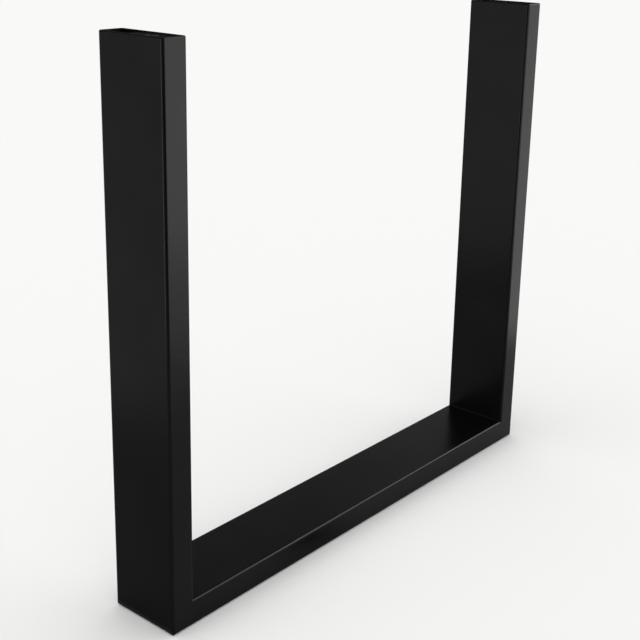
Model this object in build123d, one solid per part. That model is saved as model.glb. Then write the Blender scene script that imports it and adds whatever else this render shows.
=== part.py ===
from build123d import *
import os

# U-shaped bench leg: a flat steel tube frame of one floor bar and two uprights, mitred and
# welded at the two lower corners. A steel plate with a threaded hole is welded into the open
# top of each upright and takes the bolt that holds the seat. It leaves the back of the tube
# open, so that the frame drains when it is washed before it is coated.
#
# Millimetres. X runs along the floor bar, Y across the tube's wide side, Z up from the floor.
# The origin is on the floor, under the middle of the bar. Side -1 is the left upright, side 1
# the right one.

LEFT, RIGHT = -1, 1

# The whole leg
leg_width = 440.0  # from the outside of one upright to the outside of the other
leg_height = 410.0  # from the floor to the cut top of the uprights

# Rectangular steel tube
tube_depth = 60.0  # its wide side, along Y
tube_thickness = 20.0  # its narrow side, in the plane of the frame
tube_wall = 1.5
tube_bend_radius = 0.5  # inside the corners of the section
rim_radius = 1.0  # where the outer edge of the cut top is ground round

# Welded corners
ground_radius = 2.0  # where the outer corner of each mitre is ground round
corner_weld_leg = 1.2  # of the bead in the inner corner of each mitre

# Threaded plate in the top of each upright
plate_length = 40.0  # along Y, from the front wall of the tube
plate_thickness = 5.0
plate_recess = 1.2  # from the cut top of the tube down to the plate
plate_fit = 0.1  # gap between the plate and the tube's walls
thread_diameter = 6.8  # minor diameter of the M8 thread
thread_chamfer = 0.6  # where the thread starts
plate_weld_leg = 0.8  # of the beads along the plate's two long sides
plate_weld_end = 4.0  # from each end of the plate to the bead's end

# Sizes that follow
tube_corner_radius = tube_bend_radius + tube_wall
bore_thickness = tube_thickness - 2 * tube_wall
bore_depth = tube_depth - 2 * tube_wall
upright_middle = (leg_width - tube_thickness) / 2  # from the middle of the leg
plate_top = leg_height - plate_recess
plate_front = -bore_depth / 2 + plate_fit
plate_middle = plate_front + plate_length / 2


def straight_tube(length):
    """Open tube that stands on the XY plane, with its wide side along Y."""
    outside = RectangleRounded(tube_thickness, tube_depth, tube_corner_radius)
    bore = RectangleRounded(bore_thickness, bore_depth, tube_bend_radius)
    return extrude(outside - bore, length)


def mitre_plane(side):
    """Plane of the saw cut at a lower corner, which looks up into the upright."""
    return Plane(origin=(side * leg_width / 2, 0, 0), x_dir=(0, 1, 0), z_dir=(side, 0, 1))


def ground_away(side):
    """What the grinder takes off the sharp outer edge of a mitre."""
    middle = Pos(side * (leg_width / 2 - ground_radius), 0, ground_radius)
    corner = Pos(side * (leg_width - ground_radius) / 2, 0, ground_radius / 2)
    block = corner * Box(ground_radius, tube_depth, ground_radius)
    kept = middle * Rot(90, 0, 0) * Cylinder(ground_radius, tube_depth)
    return block - kept


def make_upright(side):
    tube = straight_tube(leg_height)
    outer_rim = tube.faces().sort_by(Axis.Z)[-1].outer_wire()
    tube = Pos(side * upright_middle, 0, 0) * fillet(outer_rim.edges(), rim_radius)
    return split(tube, mitre_plane(side), Keep.TOP) - ground_away(side)


def make_floor_bar():
    bar = Pos(-leg_width / 2, 0, tube_thickness / 2) * Rot(0, 90, 0) * straight_tube(leg_width)
    for side in (LEFT, RIGHT):
        bar = split(bar, mitre_plane(side), Keep.BOTTOM) - ground_away(side)
    return bar


def bead(leg, length):
    """Weld bead along Y that fills the corner between a floor and a wall at its left."""
    swell = 0.56 * leg  # a flat bead would pass at half the leg
    outline = Line((0, leg), (0, 0)) + Line((0, 0), (leg, 0))
    outline += ThreePointArc((leg, 0), (swell, swell), (0, leg))
    section = make_face(Plane.XZ * outline)
    return Pos(0, length / 2, 0) * extrude(section, length, dir=(0, -1, 0))


def facing_middle(side):
    """Turns a bead made for the left upright so that it fits this side."""
    return Rot(0, 0, 0 if side == LEFT else 180)


def make_corner_weld(side):
    corner = Pos(side * (leg_width / 2 - tube_thickness), 0, tube_thickness)
    flat_width = tube_depth - 2 * tube_corner_radius
    return corner * facing_middle(side) * bead(corner_weld_leg, flat_width)


def make_fixing_plate(side):
    blank = Box(bore_thickness - 2 * plate_fit, plate_length, plate_thickness)
    plate = blank - Cylinder(thread_diameter / 2, plate_thickness)
    plate = chamfer(plate.edges().filter_by(GeomType.CIRCLE), thread_chamfer)
    front_corners = plate.edges().filter_by(Axis.Z).group_by(Axis.Y)[0]
    plate = fillet(front_corners, tube_bend_radius)
    return Pos(side * upright_middle, plate_middle, plate_top - plate_thickness / 2) * plate


def make_plate_welds(side):
    length = plate_length - 2 * plate_weld_end
    wall = bore_thickness / 2
    beads = [Rot(0, 0, turn) * Pos(-wall, 0, 0) * bead(plate_weld_leg, length) for turn in (0, 180)]
    return Pos(side * upright_middle, plate_middle, plate_top) * Compound(children=beads)


def main():
    os.makedirs("parts", exist_ok=True)
    parts = {"floor_bar": make_floor_bar()}
    for name, side in (("left", LEFT), ("right", RIGHT)):
        parts[name + "_upright"] = make_upright(side)
        parts[name + "_corner_weld"] = make_corner_weld(side)
        parts[name + "_fixing_plate"] = make_fixing_plate(side)
        parts[name + "_plate_welds"] = make_plate_welds(side)
    for name, part in parts.items():
        export_step(part, "parts/" + name + ".step")


main()
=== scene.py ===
import bpy
import bmesh
import random
from math import pi, radians
from mathutils import Matrix, Vector


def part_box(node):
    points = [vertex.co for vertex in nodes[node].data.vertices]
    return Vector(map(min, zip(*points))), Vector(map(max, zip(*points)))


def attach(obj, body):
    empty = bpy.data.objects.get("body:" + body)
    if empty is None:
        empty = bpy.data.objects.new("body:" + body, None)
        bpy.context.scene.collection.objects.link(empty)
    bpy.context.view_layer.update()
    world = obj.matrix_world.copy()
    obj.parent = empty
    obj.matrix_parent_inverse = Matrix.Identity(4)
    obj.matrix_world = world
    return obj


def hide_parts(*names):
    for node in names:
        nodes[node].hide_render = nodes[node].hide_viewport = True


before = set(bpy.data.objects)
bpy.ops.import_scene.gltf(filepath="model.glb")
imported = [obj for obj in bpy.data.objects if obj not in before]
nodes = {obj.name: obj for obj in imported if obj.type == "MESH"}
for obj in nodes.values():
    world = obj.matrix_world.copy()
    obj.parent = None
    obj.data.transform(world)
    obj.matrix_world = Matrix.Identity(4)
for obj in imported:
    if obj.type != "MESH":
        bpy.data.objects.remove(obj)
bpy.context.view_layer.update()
sides = ("left", "right")
sameSpot = 0.000001  # metres: places that are closer than this are one
print("frame loaded:", len(nodes), "nodes")


# Small helpers

def hexToLinear(hexColour):  # sRGB hex as a painter reads it, to the linear values that the shaders take
    channels = [int(hexColour[i:i + 2], 16) / 255 for i in (1, 3, 5)]
    return tuple(c / 12.92 if c <= 0.04045 else ((c + 0.055) / 1.055) ** 2.4 for c in channels) + (1.0,)


def perMillimetre(size):  # scale of a noise pattern whose features are this many millimetres wide
    return 1000.0 / size


def addNode(tree, kind, settings=None, **links):  # one node, its settings and what feeds its sockets
    node = tree.nodes.new(kind)
    for name, value in (settings or {}).items():
        setattr(node, name, value)
    for name, value in links.items():  # i6 is the socket of that number, Base_Color the one of that name
        numbered = name[0] == "i" and name[1:].isdigit()
        socket = node.inputs[int(name[1:]) if numbered else name.replace("_", " ")]
        if isinstance(value, bpy.types.NodeSocket):
            tree.links.new(value, socket)
        else:
            socket.default_value = value
    return node


def newMaterial(name):
    material = bpy.data.materials.new(name)
    material.use_nodes = True
    material.node_tree.nodes.clear()
    return material, material.node_tree


def wear(obj, material):  # every slot of a piece gets this material
    if not obj.material_slots:
        obj.data.materials.append(material)
    for materialSlot in obj.material_slots:
        materialSlot.material = material


# The camera, at the photograph's viewing angle

camera = {
    "place": (-0.69105, -0.55340, 0.48528),
    "heading": 49.8156,  # degrees from +Y towards +X
    "tilt": -16.1639,  # degrees above the horizon, so it looks down
    "roll": 1.1526,
    "lens": 65.563,
    "sensor": 36.0,
    "shiftY": -0.115,  # the photograph has more, but more would cut the leg off in the other views
}


def makeCamera(c):
    data = bpy.data.cameras.new("camera")
    data.lens = c["lens"]
    data.sensor_width = c["sensor"]
    data.shift_y = c["shiftY"]
    data.clip_start = 0.01
    data.clip_end = 100.0
    obj = bpy.data.objects.new("camera", data)
    bpy.context.scene.collection.objects.link(obj)
    turn = Matrix.Rotation(-radians(c["heading"]), 4, "Z")
    turn = turn @ Matrix.Rotation(radians(90 + c["tilt"]), 4, "X")
    turn = turn @ Matrix.Rotation(radians(c["roll"]), 4, "Z")
    obj.matrix_world = Matrix.Translation(c["place"]) @ turn
    bpy.context.scene.camera = obj


makeCamera(camera)
bpy.context.scene.view_settings.view_transform = "Standard"
print("camera set")


# The studio: a pale floor, plain white all round, and what the steel mirrors

studio = {
    "floorWidth": 60.0,
    "floorColour": "#f9f9f8",
    "floorRoughness": 0.9,
    "floorDrop": 0.0002,  # the board lies a little under the leg, so that their faces don't share a plane
    "worldStrength": 1.0,  # plain white all round, so a colour renders about as it is written
    "ceilingHeight": 2.6,
    "ceilingWidth": 14.0,
    "ceilingTone": 0.345,  # mirrored by the top of the bar
}
softboxes = {  # lamps that only reflections show; at radiance 1 one is as bright as the white world
    "sideHigh": {  # mirrored as the light line along the bar's front top edge
        "place": (1.9, -0.95, 1.5), "aim": (0.0, 0.0, 0.2),
        "size": (2.4, 1.2), "radiance": 9.0,
    },
    "lowLeftPart": {  # mirrored in the left upright's front, from its top to its middle
        "place": (0.070, -0.4445, 0.25), "aim": (-0.21, -0.03, 0.25),
        "size": (0.44, 0.5), "radiance": 2.4,
    },
    "lowLeftFar": {  # in the same face, near its top only
        "place": (0.36, -0.72, 0.32), "aim": (-0.21, -0.03, 0.32),
        "size": (0.5, 0.62), "radiance": 3.4,
    },
    "lowRightPart": {  # in the right upright's front, from its top to its middle
        "place": (0.447, -0.178, 0.26), "aim": (0.21, -0.03, 0.26),
        "size": (0.16, 0.52), "radiance": 2.15,
    },
    "behindLeft": {  # in the right upright's inner face
        "place": (-0.175, 0.248, 0.25), "aim": (0.2, 0.0, 0.25),
        "size": (0.17, 0.40), "radiance": 1.25,
    },
    "leftEdge": {  # as the thin light line by the left upright's front edge
        "place": (-0.75, 0.25, 0.22), "aim": (-0.22, -0.03, 0.22),
        "size": (0.18, 0.44), "radiance": 7.1,
    },
}
flags = {  # sheets that only reflections show: a black flag, and two grey sheets of painted shade lying on the floor
    "byCamera": {  # mirrored as the dark line beside that light one
        "place": (-0.55, -0.50, 0.28), "aim": (0.0, 0.0, 0.28),
        "size": (0.5, 0.56), "colour": "#050505",
    },
    "footShade": {  # painted shade: a grey sheet that dulls the foot of the left upright's outer face, for the floor's shadow there
        "place": (-0.3505, 0.13, 0.003), "aim": (-0.3505, 0.13, 1.0),
        "size": (0.259, 0.32), "colour": "#b4b4b4",
    },
    "barShade": {  # painted shade: a grey sheet, mirrored as the soft dark patch on the bar's front, for the floor's shadow there
        "place": (-0.056, -0.046, 0.001), "aim": (-0.056, -0.046, 1.0),
        "size": (0.14, 0.06), "colour": "#707070",
        "fade": (15.0, 30.0, 1.0),  # thinned to nothing 1/15 m one way from its middle, 1/30 m the other
    },
}


def makeCard(name, width, height, material):  # a flat stage piece that faces +Z before it is placed
    mesh = bpy.data.meshes.new(name)
    bm = bmesh.new()
    bmesh.ops.create_grid(bm, x_segments=1, y_segments=1, size=0.5)  # 1 m wide, before it is scaled
    bmesh.ops.scale(bm, vec=(width, height, 1), verts=bm.verts)
    bm.to_mesh(mesh)
    bm.free()
    obj = bpy.data.objects.new(name, mesh)
    bpy.context.scene.collection.objects.link(obj)
    wear(obj, material)
    return obj


def facing(place, aim):
    return (Vector(aim) - Vector(place)).to_track_quat("Z", "Y").to_euler()


def onlyReflected(obj):
    obj.visible_camera = False
    obj.visible_diffuse = False
    obj.visible_shadow = False


def makeFloor(s):
    material, tree = newMaterial("mattWhiteBoard")
    shader = addNode(tree, "ShaderNodeBsdfPrincipled", Base_Color=hexToLinear(s["floorColour"]),
                     Roughness=s["floorRoughness"], Specular_IOR_Level=0.0)
    addNode(tree, "ShaderNodeOutputMaterial", Surface=shader.outputs[0])
    floor = makeCard("floor", s["floorWidth"], s["floorWidth"], material)
    floor.location.z = -s["floorDrop"]


def makeWorld(s):
    world = bpy.data.worlds.new("studio")
    bpy.context.scene.world = world
    world.use_nodes = True
    tree = world.node_tree
    tree.nodes.clear()
    background = addNode(tree, "ShaderNodeBackground", Color=(1, 1, 1, 1), Strength=s["worldStrength"])
    addNode(tree, "ShaderNodeOutputWorld", Surface=background.outputs[0])


def makeCeiling(s):
    material, tree = newMaterial("greyCeiling")
    glow = addNode(tree, "ShaderNodeEmission", Color=(1, 1, 1, 1), Strength=s["ceilingTone"])
    addNode(tree, "ShaderNodeOutputMaterial", Surface=glow.outputs[0])
    ceiling = makeCard("ceiling", s["ceilingWidth"], s["ceilingWidth"], material)
    ceiling.location.z = s["ceilingHeight"]
    onlyReflected(ceiling)


def makeSoftbox(name, box):
    data = bpy.data.lights.new(name, "AREA")
    data.shape = "RECTANGLE"
    data.size, data.size_y = box["size"]
    data.energy = box["radiance"] * pi * data.size * data.size_y
    obj = bpy.data.objects.new(name, data)
    bpy.context.scene.collection.objects.link(obj)
    obj.location = box["place"]
    obj.rotation_euler = facing(box["aim"], box["place"])  # a lamp shines along its own -Z
    obj.visible_camera = False
    obj.visible_diffuse = False


def makeFlag(name, flag):
    material, tree = newMaterial(name + "Cloth")
    shader = addNode(tree, "ShaderNodeBsdfDiffuse", Color=hexToLinear(flag["colour"])).outputs[0]
    # a faded sheet is painted shade, with the soft edge of a shadow
    if "fade" in flag:
        place = addNode(tree, "ShaderNodeTexCoord").outputs["Object"]
        place = addNode(tree, "ShaderNodeMapping", Vector=place, Scale=flag["fade"]).outputs[0]
        sheetFade = addNode(tree, "ShaderNodeTexGradient", {"gradient_type": "QUADRATIC_SPHERE"},
                        Vector=place).outputs[1]
        clear = addNode(tree, "ShaderNodeBsdfTransparent").outputs[0]
        shader = addNode(tree, "ShaderNodeMixShader", i0=sheetFade, i1=clear, i2=shader).outputs[0]
    addNode(tree, "ShaderNodeOutputMaterial", Surface=shader)
    obj = makeCard(name, *flag["size"], material)
    obj.location = flag["place"]
    obj.rotation_euler = facing(flag["place"], flag["aim"])
    onlyReflected(obj)


makeFloor(studio)
makeWorld(studio)
makeCeiling(studio)
for name, box in softboxes.items():
    makeSoftbox(name, box)
for name, flag in flags.items():
    makeFlag(name, flag)
print("studio lit:", len(softboxes), "softboxes and", len(flags), "flags")


# The materials

uprightLow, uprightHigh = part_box("left_upright")
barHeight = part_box("floor_bar")[1].z
tube = {  # the frame's rectangular steel tube, and where its hollows are
    "wall": 0.0015,
    "outside": -uprightLow.x,  # from the middle of the leg to an upright's outer face
    "uprightMiddle": -(uprightLow.x + uprightHigh.x) / 2,
    "halfUpright": (uprightHigh.x - uprightLow.x) / 2,
    "halfDepth": uprightHigh.y,
    "halfBar": barHeight / 2,
    "top": uprightHigh.z,
    "edge": 0.0012,  # the coat starts to thin this near both of the faces that meet in a long edge
    "edgeMiddle": 0.0004,  # and is at its thinnest this near
    "slack": 0.0001,  # by which the hollows are taken too large, so that their walls count as inside
}
coatPatterns = {  # what the patterns in all three coats share
    "cloudDetail": 3.0,
    "cloudBreakUp": 0.55,  # how much the finer noise counts in a patch
    "cloudLow": 0.35,  # noise that counts as no patch at all
    "cloudHigh": 0.65,  # and as a full one
    "peelDetail": 1.0,
    "grainDetail": 2.0,
}
edgeTurn = {  # how alike the rounded normal and the facet's own are, as a cosine
    "flat": 0.98,
    "sharp": 0.8,
}

# Black polyester powder, sprayed on and baked. The eye gets a nearly black body with a satin sheen on it:
# the light comes back soft, with no sharp image, and the skin waves a little where the powder ran together.
tubeCoat = {
    "colour": "#050505",
    "thinColour": "#090909",  # where the powder lies a little thinner
    "cloudSize": 70.0,  # mm across a patch of thicker or thinner powder
    "edgeColour": "#0c0c0c",  # powder draws back a little from an edge
    "roughness": 0.22,
    "cloudRoughness": 0.05,
    "edgeRoughness": 0.08,
    "peelSize": 2.6,  # mm from crest to crest of the orange peel that baked powder has
    "peelHeight": 0.00006,  # really about 0.01 mm, and drawn higher so that it shows close up
    "grainSize": 1.1,  # really about 0.2 mm, and drawn this coarse so that it shows
    "grainHeight": 0.00002,
    "specular": 0.07,  # usually 0.5: lowered by trial until this white room gives the photograph's tones
}
# The same powder over a weld bead. The bead is left as welded, so its ripples stay, and the soot under the
# coat shows through as a rougher and duller skin than the tube's.
weldCoat = {
    "colour": "#090909",
    "thinColour": "#121111",
    "cloudSize": 4.0,
    "edgeColour": "#171718",
    "edgeRadius": 0.0002,
    "roughness": 0.38,
    "cloudRoughness": 0.1,
    "edgeRoughness": 0.05,
    "peelSize": 0.9,
    "peelHeight": 0.000012,
    "grainSize": 0.4,
    "grainHeight": 0.000004,
    "specular": 0.05,
}
# Thin dry powder on the plate, which the spray hardly reaches in the tube's mouth. It never flowed out, so
# the eye gets a matt, slightly brown black without any sheen.
plateCoat = {
    "colour": "#101010",
    "thinColour": "#1a1918",
    "cloudSize": 9.0,
    "edgeColour": "#232120",
    "edgeRadius": 0.0003,
    "roughness": 0.82,
    "cloudRoughness": 0.1,
    "edgeRoughness": 0.1,
    "peelSize": 0.8,
    "peelHeight": 0.00002,
    "grainSize": 0.35,
    "grainHeight": 0.000006,
    "specular": 0.02,
}
# Inside the tube a dry film of powder lies near the open end, and the steel's own mill scale shows further
# down: both swallow the light, the scale a little greyer.
tubeInside = {
    "filmColour": "#060606",
    "scaleColour": "#1d1c1c",
    "filmEnds": 0.33,  # height at which the film has gone
    "roughness": 0.85,
}
# The sawn and ground rim of an upright. The powder lies over the grinder's marks, so it looks matt.
cutEnd = {
    "depth": 0.0005,
    "roughness": 0.6,
}
# The thread is chased after coating, so its steel is bare and dark with oil: a dull metal glint in the hole.
tappedSteel = {
    "colour": "#55534f",
    "roughness": 0.38,
    "radius": 0.0043,  # bare up to here, just past the countersink
}


def coatSurface(tree, c, place, edge, rounded=None):  # colour, roughness and normal of a powder coat
    p = coatPatterns
    cloud = addNode(tree, "ShaderNodeTexNoise", Vector=place, Scale=perMillimetre(c["cloudSize"]),
                    Detail=p["cloudDetail"], Roughness=p["cloudBreakUp"]).outputs[0]
    peel = addNode(tree, "ShaderNodeTexNoise", Vector=place, Scale=perMillimetre(c["peelSize"]),
                   Detail=p["peelDetail"]).outputs[0]
    grain = addNode(tree, "ShaderNodeTexNoise", Vector=place, Scale=perMillimetre(c["grainSize"]),
                    Detail=p["grainDetail"]).outputs[0]
    patch = addNode(tree, "ShaderNodeMapRange", Value=cloud, From_Min=p["cloudLow"],
                    From_Max=p["cloudHigh"]).outputs[0]
    colour = addNode(tree, "ShaderNodeMix", {"data_type": "RGBA"}, i0=patch, i6=hexToLinear(c["colour"]),
                     i7=hexToLinear(c["thinColour"])).outputs[2]
    colour = addNode(tree, "ShaderNodeMix", {"data_type": "RGBA"}, i0=edge, i6=colour,
                     i7=hexToLinear(c["edgeColour"])).outputs[2]
    rough = addNode(tree, "ShaderNodeMath", {"operation": "MULTIPLY_ADD"}, i0=patch, i1=c["cloudRoughness"],
                    i2=c["roughness"]).outputs[0]
    rough = addNode(tree, "ShaderNodeMath", {"operation": "MULTIPLY_ADD"}, i0=edge, i1=c["edgeRoughness"],
                    i2=rough).outputs[0]
    under = {"Normal": rounded} if rounded else {}
    normal = addNode(tree, "ShaderNodeBump", Height=peel, Distance=c["peelHeight"], **under).outputs[0]
    normal = addNode(tree, "ShaderNodeBump", Height=grain, Distance=c["grainHeight"],
                     Normal=normal).outputs[0]
    return colour, rough, normal


def objectPlace(tree):  # the place of a point, and |x|, y and z, so that one pattern serves both uprights
    place = addNode(tree, "ShaderNodeTexCoord").outputs["Object"]
    parts = addNode(tree, "ShaderNodeSeparateXYZ", Vector=place).outputs
    across = addNode(tree, "ShaderNodeMath", {"operation": "ABSOLUTE"}, i0=parts["X"]).outputs[0]
    return place, across, parts["Y"], parts["Z"]


def longEdges(tree, t, across, y, z):  # 1 along the tube's rounded long edges, fading to 0 on its flats
    rise = addNode(tree, "ShaderNodeMath", {"operation": "ADD"}, i0=across, i1=z).outputs[0]
    onUpright = addNode(tree, "ShaderNodeMath", {"operation": "GREATER_THAN"}, i0=rise,
                        i1=t["outside"]).outputs[0]  # past the mitre
    thin = addNode(tree, "ShaderNodeMix", i0=onUpright, i2=z, i3=across).outputs[0]
    middle = addNode(tree, "ShaderNodeMix", i0=onUpright, i2=t["halfBar"], i3=t["uprightMiddle"]).outputs[0]
    thin = addNode(tree, "ShaderNodeMath", {"operation": "SUBTRACT"}, i0=thin, i1=middle).outputs[0]
    edge = 1.0
    for coordinate, half in ((thin, t["halfBar"]), (y, t["halfDepth"])):
        out = addNode(tree, "ShaderNodeMath", {"operation": "ABSOLUTE"}, i0=coordinate).outputs[0]
        near = addNode(tree, "ShaderNodeMapRange", Value=out, From_Min=half - t["edge"],
                       From_Max=half - t["edgeMiddle"]).outputs[0]
        edge = addNode(tree, "ShaderNodeMath", {"operation": "MULTIPLY"}, i0=edge, i1=near).outputs[0]
    return edge


def sharpEdges(tree, c):  # where a plate or bead has a sharp edge, and the normal of the coat rounding it
    rounded = addNode(tree, "ShaderNodeBevel", {"samples": 6}, Radius=c["edgeRadius"]).outputs[0]
    facet = addNode(tree, "ShaderNodeNewGeometry").outputs["Normal"]
    alike = addNode(tree, "ShaderNodeVectorMath", {"operation": "DOT_PRODUCT"}, i0=rounded,
                    i1=facet).outputs["Value"]
    edge = addNode(tree, "ShaderNodeMapRange", Value=alike, From_Min=edgeTurn["flat"],
                   From_Max=edgeTurn["sharp"]).outputs[0]
    return edge, rounded


def hollowMask(tree, limits):  # 1 where every coordinate is within reach of the hollow's middle
    mask = 1.0
    for coordinate, middle, reach in limits:
        near = addNode(tree, "ShaderNodeMath", {"operation": "COMPARE"}, i0=coordinate, i1=middle,
                       i2=reach).outputs[0]
        mask = addNode(tree, "ShaderNodeMath", {"operation": "MULTIPLY"}, i0=mask, i1=near).outputs[0]
    return mask


def makeTubeCoat(c, t, inside, rim):
    material, tree = newMaterial("satinBlackPowderCoat")
    place, across, y, z = objectPlace(tree)
    colour, rough, normal = coatSurface(tree, c, place, longEdges(tree, t, across, y, z))
    bore = t["halfUpright"] - t["wall"] + t["slack"]
    depth = (y, 0.0, t["halfDepth"] - t["wall"] + t["slack"])
    halfTop = t["top"] / 2
    upright = hollowMask(tree, [depth, (across, t["uprightMiddle"], bore),
                                (z, halfTop + t["wall"] / 2, halfTop)])
    bar = hollowMask(tree, [depth, (across, 0.0, t["uprightMiddle"] - bore), (z, t["halfBar"], bore)])
    hollow = addNode(tree, "ShaderNodeMath", {"operation": "MAXIMUM"}, i0=upright, i1=bar).outputs[0]
    film = addNode(tree, "ShaderNodeMapRange", Value=z, From_Min=inside["filmEnds"],
                   From_Max=t["top"]).outputs[0]
    lining = addNode(tree, "ShaderNodeMix", {"data_type": "RGBA"}, i0=film,
                     i6=hexToLinear(inside["scaleColour"]), i7=hexToLinear(inside["filmColour"])).outputs[2]
    colour = addNode(tree, "ShaderNodeMix", {"data_type": "RGBA"}, i0=hollow, i6=colour, i7=lining).outputs[2]
    rough = addNode(tree, "ShaderNodeMix", i0=hollow, i2=rough, i3=inside["roughness"]).outputs[0]
    cut = addNode(tree, "ShaderNodeMath", {"operation": "GREATER_THAN"}, i0=z,
                  i1=t["top"] - rim["depth"]).outputs[0]
    rough = addNode(tree, "ShaderNodeMix", i0=cut, i2=rough, i3=rim["roughness"]).outputs[0]
    shader = addNode(tree, "ShaderNodeBsdfPrincipled", Base_Color=colour, Roughness=rough, Normal=normal,
                     Specular_IOR_Level=c["specular"])
    addNode(tree, "ShaderNodeOutputMaterial", Surface=shader.outputs[0])
    return material


def makeWeldCoat(c):
    material, tree = newMaterial("powderCoatOverWeld")
    edge, rounded = sharpEdges(tree, c)
    colour, rough, normal = coatSurface(tree, c, objectPlace(tree)[0], edge, rounded)
    shader = addNode(tree, "ShaderNodeBsdfPrincipled", Base_Color=colour, Roughness=rough, Normal=normal,
                     Specular_IOR_Level=c["specular"])
    addNode(tree, "ShaderNodeOutputMaterial", Surface=shader.outputs[0])
    return material


def makePlateCoat(c, steel):
    material, tree = newMaterial("thinPowderCoatOnPlate")
    place, across, y, z = objectPlace(tree)
    edge, rounded = sharpEdges(tree, c)
    colour, rough, normal = coatSurface(tree, c, place, edge, rounded)
    low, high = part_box("right_fixing_plate")
    flat = addNode(tree, "ShaderNodeCombineXYZ", X=across, Y=y).outputs[0]
    axis = ((low.x + high.x) / 2, (low.y + high.y) / 2, 0.0)
    away = addNode(tree, "ShaderNodeVectorMath", {"operation": "DISTANCE"}, i0=flat, i1=axis).outputs["Value"]
    bare = addNode(tree, "ShaderNodeMath", {"operation": "LESS_THAN"}, i0=away, i1=steel["radius"]).outputs[0]
    colour = addNode(tree, "ShaderNodeMix", {"data_type": "RGBA"}, i0=bare, i6=colour,
                     i7=hexToLinear(steel["colour"])).outputs[2]
    rough = addNode(tree, "ShaderNodeMix", i0=bare, i2=rough, i3=steel["roughness"]).outputs[0]
    shader = addNode(tree, "ShaderNodeBsdfPrincipled", Base_Color=colour, Metallic=bare, Roughness=rough,
                     Normal=normal, Specular_IOR_Level=c["specular"])
    addNode(tree, "ShaderNodeOutputMaterial", Surface=shader.outputs[0])
    return material


coatMaterial = makeTubeCoat(tubeCoat, tube, tubeInside, cutEnd)
weldMaterial = makeWeldCoat(weldCoat)
plateMaterial = makePlateCoat(plateCoat, tappedSteel)
for node in nodes.values():
    wear(node, coatMaterial)
print("coated:", len(nodes), "nodes")


# The weld beads

beadSection = {  # the CAD bead's own: a face that bows out a little, as shares of the bead's leg
    "arcCentre": -1.5535,  # from the bead's root, along both legs
    "arcAngle": 27.37,  # degrees
    "arcSteps": 8,
    "middle": 0.56,  # of the face, from the root along both legs
}
cornerBead = {  # fillet weld in the inner corner of each mitre, left as welded and coated over
    "ripplePitch": 0.0014,
    "rippleDepth": 0.14,  # share of the bead's size lost between two ripples
    "lead": 0.0004,  # how far the middle of a ripple runs ahead of its edges
    "taper": 0.0012,  # from the bead's end to its full size
    "unevenness": 0.05,
    "seed": 11,
}
plateBead = {  # the two short welds along a plate, made with less heat and so finer
    "ripplePitch": 0.0011,
    "rippleDepth": 0.14,
    "lead": 0.0003,
    "taper": 0.0010,
    "unevenness": 0.06,
    "seed": 23,
}


def finishPiece(name, bm, material):
    bmesh.ops.recalc_face_normals(bm, faces=bm.faces)
    mesh = bpy.data.meshes.new(name)
    bm.to_mesh(mesh)
    bm.free()
    for face in mesh.polygons:
        face.use_smooth = True
    obj = bpy.data.objects.new(name, mesh)
    bpy.context.scene.collection.objects.link(obj)
    wear(obj, material)
    return obj


def rippleSizes(b, length):  # how large the bead is at each distance from its start
    dice = random.Random(b["seed"])
    ends = ((0.0, 0.3), (0.25, 0.62), (0.6, 0.88))  # shares of the taper and of the full size
    ripple = ((0.0, 1.0), (0.12, 0.25), (0.4, 0.0), (0.75, 0.3))  # shares of the pitch and of the depth
    sizes = [(share * b["taper"], size) for share, size in ends]
    at = b["taper"]
    while at + b["ripplePitch"] < length - b["taper"]:
        full = 1.0 - dice.uniform(0, b["unevenness"])
        sizes += [(at + share * b["ripplePitch"], full - drop * b["rippleDepth"]) for share, drop in ripple]
        at += b["ripplePitch"]
    sizes += [(length - share * b["taper"], size) for share, size in reversed(ends)]
    return sizes


def addBead(bm, b, leg, length, corner, turn):  # made along Y, with the wall at -X and the floor under it
    s = beadSection
    root = bm.verts.new((0, 0, 0))
    edge = bm.verts.new((0, 0, leg))
    centre = Vector((s["arcCentre"] * leg, 0, s["arcCentre"] * leg))
    last = bmesh.ops.spin(bm, geom=[edge], cent=centre, axis=(0, 1, 0), angle=radians(s["arcAngle"]),
                          steps=s["arcSteps"])["geom_last"]
    foot = [g for g in last if isinstance(g, bmesh.types.BMVert)][0]
    bm.edges.new((root, edge))
    bm.edges.new((foot, root))
    section = [v for v in bm.verts if v.is_wire]
    for v in section:  # the face bows forward, as a ripple does
        v.co.y = b["lead"] * v.co.x * v.co.z / (s["middle"] * leg) ** 2
    made = list(section)
    ring = [e for e in bm.edges if e.is_wire]
    bmesh.ops.edgeloop_fill(bm, edges=ring)
    reached, size = 0.0, 1.0
    for at, wanted in rippleSizes(b, length):
        if at > 0:
            geom = bmesh.ops.extrude_edge_only(bm, edges=ring)["geom"]
            section = [g for g in geom if isinstance(g, bmesh.types.BMVert)]
            edges = [g for g in geom if isinstance(g, bmesh.types.BMEdge)]
            ring = [e for e in edges if all(v in section for v in e.verts)]
            made += section
        bmesh.ops.translate(bm, vec=(0, at - reached, 0), verts=section)
        bmesh.ops.scale(bm, vec=(wanted / size, 1, wanted / size), verts=section)
        reached, size = at, wanted
    bmesh.ops.edgeloop_fill(bm, edges=ring)
    bmesh.ops.translate(bm, vec=(0, -length / 2, 0), verts=made)
    bmesh.ops.rotate(bm, matrix=Matrix.Rotation(turn, 3, "Z"), verts=made)
    bmesh.ops.translate(bm, vec=corner, verts=made)


def makeCornerBead(side):
    low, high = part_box(side + "_corner_weld")
    wallX, turn = (low.x, 0) if side == "left" else (high.x, pi)
    bm = bmesh.new()
    addBead(bm, cornerBead, high.z - low.z, high.y - low.y, (wallX, 0, low.z), turn)
    obj = finishPiece(side + "CornerBead", bm, weldMaterial)
    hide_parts(side + "_corner_weld")
    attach(obj, "root")


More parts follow.
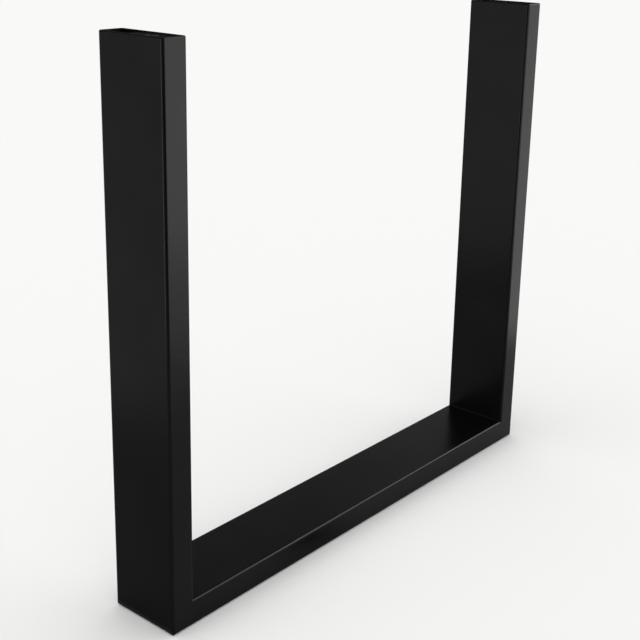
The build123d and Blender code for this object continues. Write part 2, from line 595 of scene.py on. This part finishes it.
def makePlateBeads(side):
    low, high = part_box(side + "_plate_welds")
    middle = (low.y + high.y) / 2
    bm = bmesh.new()
    for wallX, turn in ((low.x, 0), (high.x, pi)):
        addBead(bm, plateBead, high.z - low.z, high.y - low.y, (wallX, middle, low.z), turn)
    obj = finishPiece(side + "PlateBeads", bm, plateMaterial)
    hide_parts(side + "_plate_welds")
    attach(obj, "root")


for side in sides:
    makeCornerBead(side)
    makePlateBeads(side)
print("weld beads laid")


# The threaded plates

threadedPlate = {  # cut from 5 mm steel, drilled and tapped M8
    "frontCorner": 0.0006,
    "frontCornerSteps": 5,
    "edgeBreak": 0.00025,
    "edgeBreakSteps": 2,
    "boreRadius": 0.0034,
    "threadRadius": 0.0040,
    "pitch": 0.00125,
    "rootEnds": 0.25,  # of the tap's flat root, as a share of the pitch, and so are the next two
    "crestStarts": 0.5625,
    "crestEnds": 0.6875,
    "stepsPerTurn": 40,
    "countersink": 0.0042,  # radius at the face
    "sinkDepth": 0.0014,  # of the cone that cuts it, which stands half above the face
    "overrun": 0.0006,  # by which the tap runs past both faces
    "sliver": 0.00001,  # shorter edges are merged
}


def makeTap(p, top, thickness):  # the threaded rod that is cut out of the plate
    bm = bmesh.new()
    outline = ((p["boreRadius"], 0.0), (p["boreRadius"], p["rootEnds"]),
               (p["threadRadius"], p["crestStarts"]), (p["threadRadius"], p["crestEnds"]),
               (p["boreRadius"], 1.0))
    points = [bm.verts.new((radius, 0, share * p["pitch"])) for radius, share in outline]
    edges = [bm.edges.new(pair) for pair in zip(points, points[1:])]
    turns = int(thickness / p["pitch"]) + 4  # enough to pass both faces
    bmesh.ops.spin(bm, geom=points + edges, cent=(0, 0, 0), axis=(0, 0, 1), angle=2 * pi * turns,
                   steps=p["stepsPerTurn"] * turns, dvec=(0, 0, p["pitch"] / p["stepsPerTurn"]))
    bmesh.ops.remove_doubles(bm, verts=bm.verts, dist=p["sliver"])
    bmesh.ops.translate(bm, vec=(0, 0, -2 * p["pitch"] - thickness), verts=bm.verts)
    for z, up in ((p["overrun"], 1), (-thickness - p["overrun"], -1)):
        whole = bm.verts[:] + bm.edges[:] + bm.faces[:]
        bmesh.ops.bisect_plane(bm, geom=whole, plane_co=(0, 0, z), plane_no=(0, 0, up), clear_outer=True)
        rim = [e for e in bm.edges if e.is_boundary and all(abs(v.co.z - z) < sameSpot for v in e.verts)]
        bmesh.ops.triangle_fill(bm, use_beauty=True, edges=rim)
    bmesh.ops.recalc_face_normals(bm, faces=bm.faces)
    bmesh.ops.translate(bm, vec=top, verts=bm.verts)
    return bm


def makeSink(p, face, up):  # the cone that breaks the hole's edge at one face of the plate
    bm = bmesh.new()
    depth = p["sinkDepth"]
    small = p["countersink"] - depth / 2
    bmesh.ops.create_cone(bm, cap_ends=True, cap_tris=False, segments=p["stepsPerTurn"], radius1=small,
                          radius2=small + depth, depth=depth)
    if not up:
        bmesh.ops.rotate(bm, matrix=Matrix.Rotation(pi, 3, "X"), verts=bm.verts)
    bmesh.ops.translate(bm, vec=face, verts=bm.verts)
    return bm


def cutOut(obj, bm):
    mesh = bpy.data.meshes.new("cutter")
    bm.to_mesh(mesh)
    bm.free()
    cutter = bpy.data.objects.new("cutter", mesh)
    bpy.context.scene.collection.objects.link(cutter)
    cut = obj.modifiers.new("cut", "BOOLEAN")
    cut.operation = "DIFFERENCE"
    cut.solver = "EXACT"
    cut.object = cutter
    evaluated = obj.evaluated_get(bpy.context.evaluated_depsgraph_get())
    done = bpy.data.meshes.new_from_object(evaluated)
    obj.modifiers.clear()
    obj.data = done
    bpy.data.objects.remove(cutter)


def makeThreadedPlate(side):
    p = threadedPlate
    low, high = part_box(side + "_fixing_plate")
    size, middle = high - low, (high + low) / 2
    bm = bmesh.new()
    bmesh.ops.create_cube(bm, size=1)
    bmesh.ops.scale(bm, vec=size, verts=bm.verts)
    bmesh.ops.translate(bm, vec=middle, verts=bm.verts)
    atFront = [e for e in bm.edges if all(abs(v.co.y - low.y) < sameSpot for v in e.verts)]
    upright = [e for e in atFront if e.verts[0].co.z != e.verts[1].co.z]
    bmesh.ops.bevel(bm, geom=upright, offset=p["frontCorner"], segments=p["frontCornerSteps"], profile=0.5,
                    affect="EDGES", material=-1)
    rims = [e for e in bm.edges if abs(e.verts[0].co.z - e.verts[1].co.z) < sameSpot]
    bmesh.ops.bevel(bm, geom=rims, offset=p["edgeBreak"], segments=p["edgeBreakSteps"], profile=0.5,
                    affect="EDGES", material=-1)
    obj = finishPiece(side + "ThreadedPlate", bm, plateMaterial)
    cutOut(obj, makeSink(p, (middle.x, middle.y, high.z), True))
    cutOut(obj, makeSink(p, (middle.x, middle.y, low.z), False))
    cutOut(obj, makeTap(p, (middle.x, middle.y, high.z), size.z))
    bm = bmesh.new()
    bm.from_mesh(obj.data)
    bmesh.ops.remove_doubles(bm, verts=bm.verts, dist=p["sliver"])  # what the cuts leave
    bm.to_mesh(obj.data)
    bm.free()
    obj.data.shade_flat()
    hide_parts(side + "_fixing_plate")
    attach(obj, "root")
    print(obj.name, len(obj.data.polygons), "faces")


for side in sides:
    makeThreadedPlate(side)
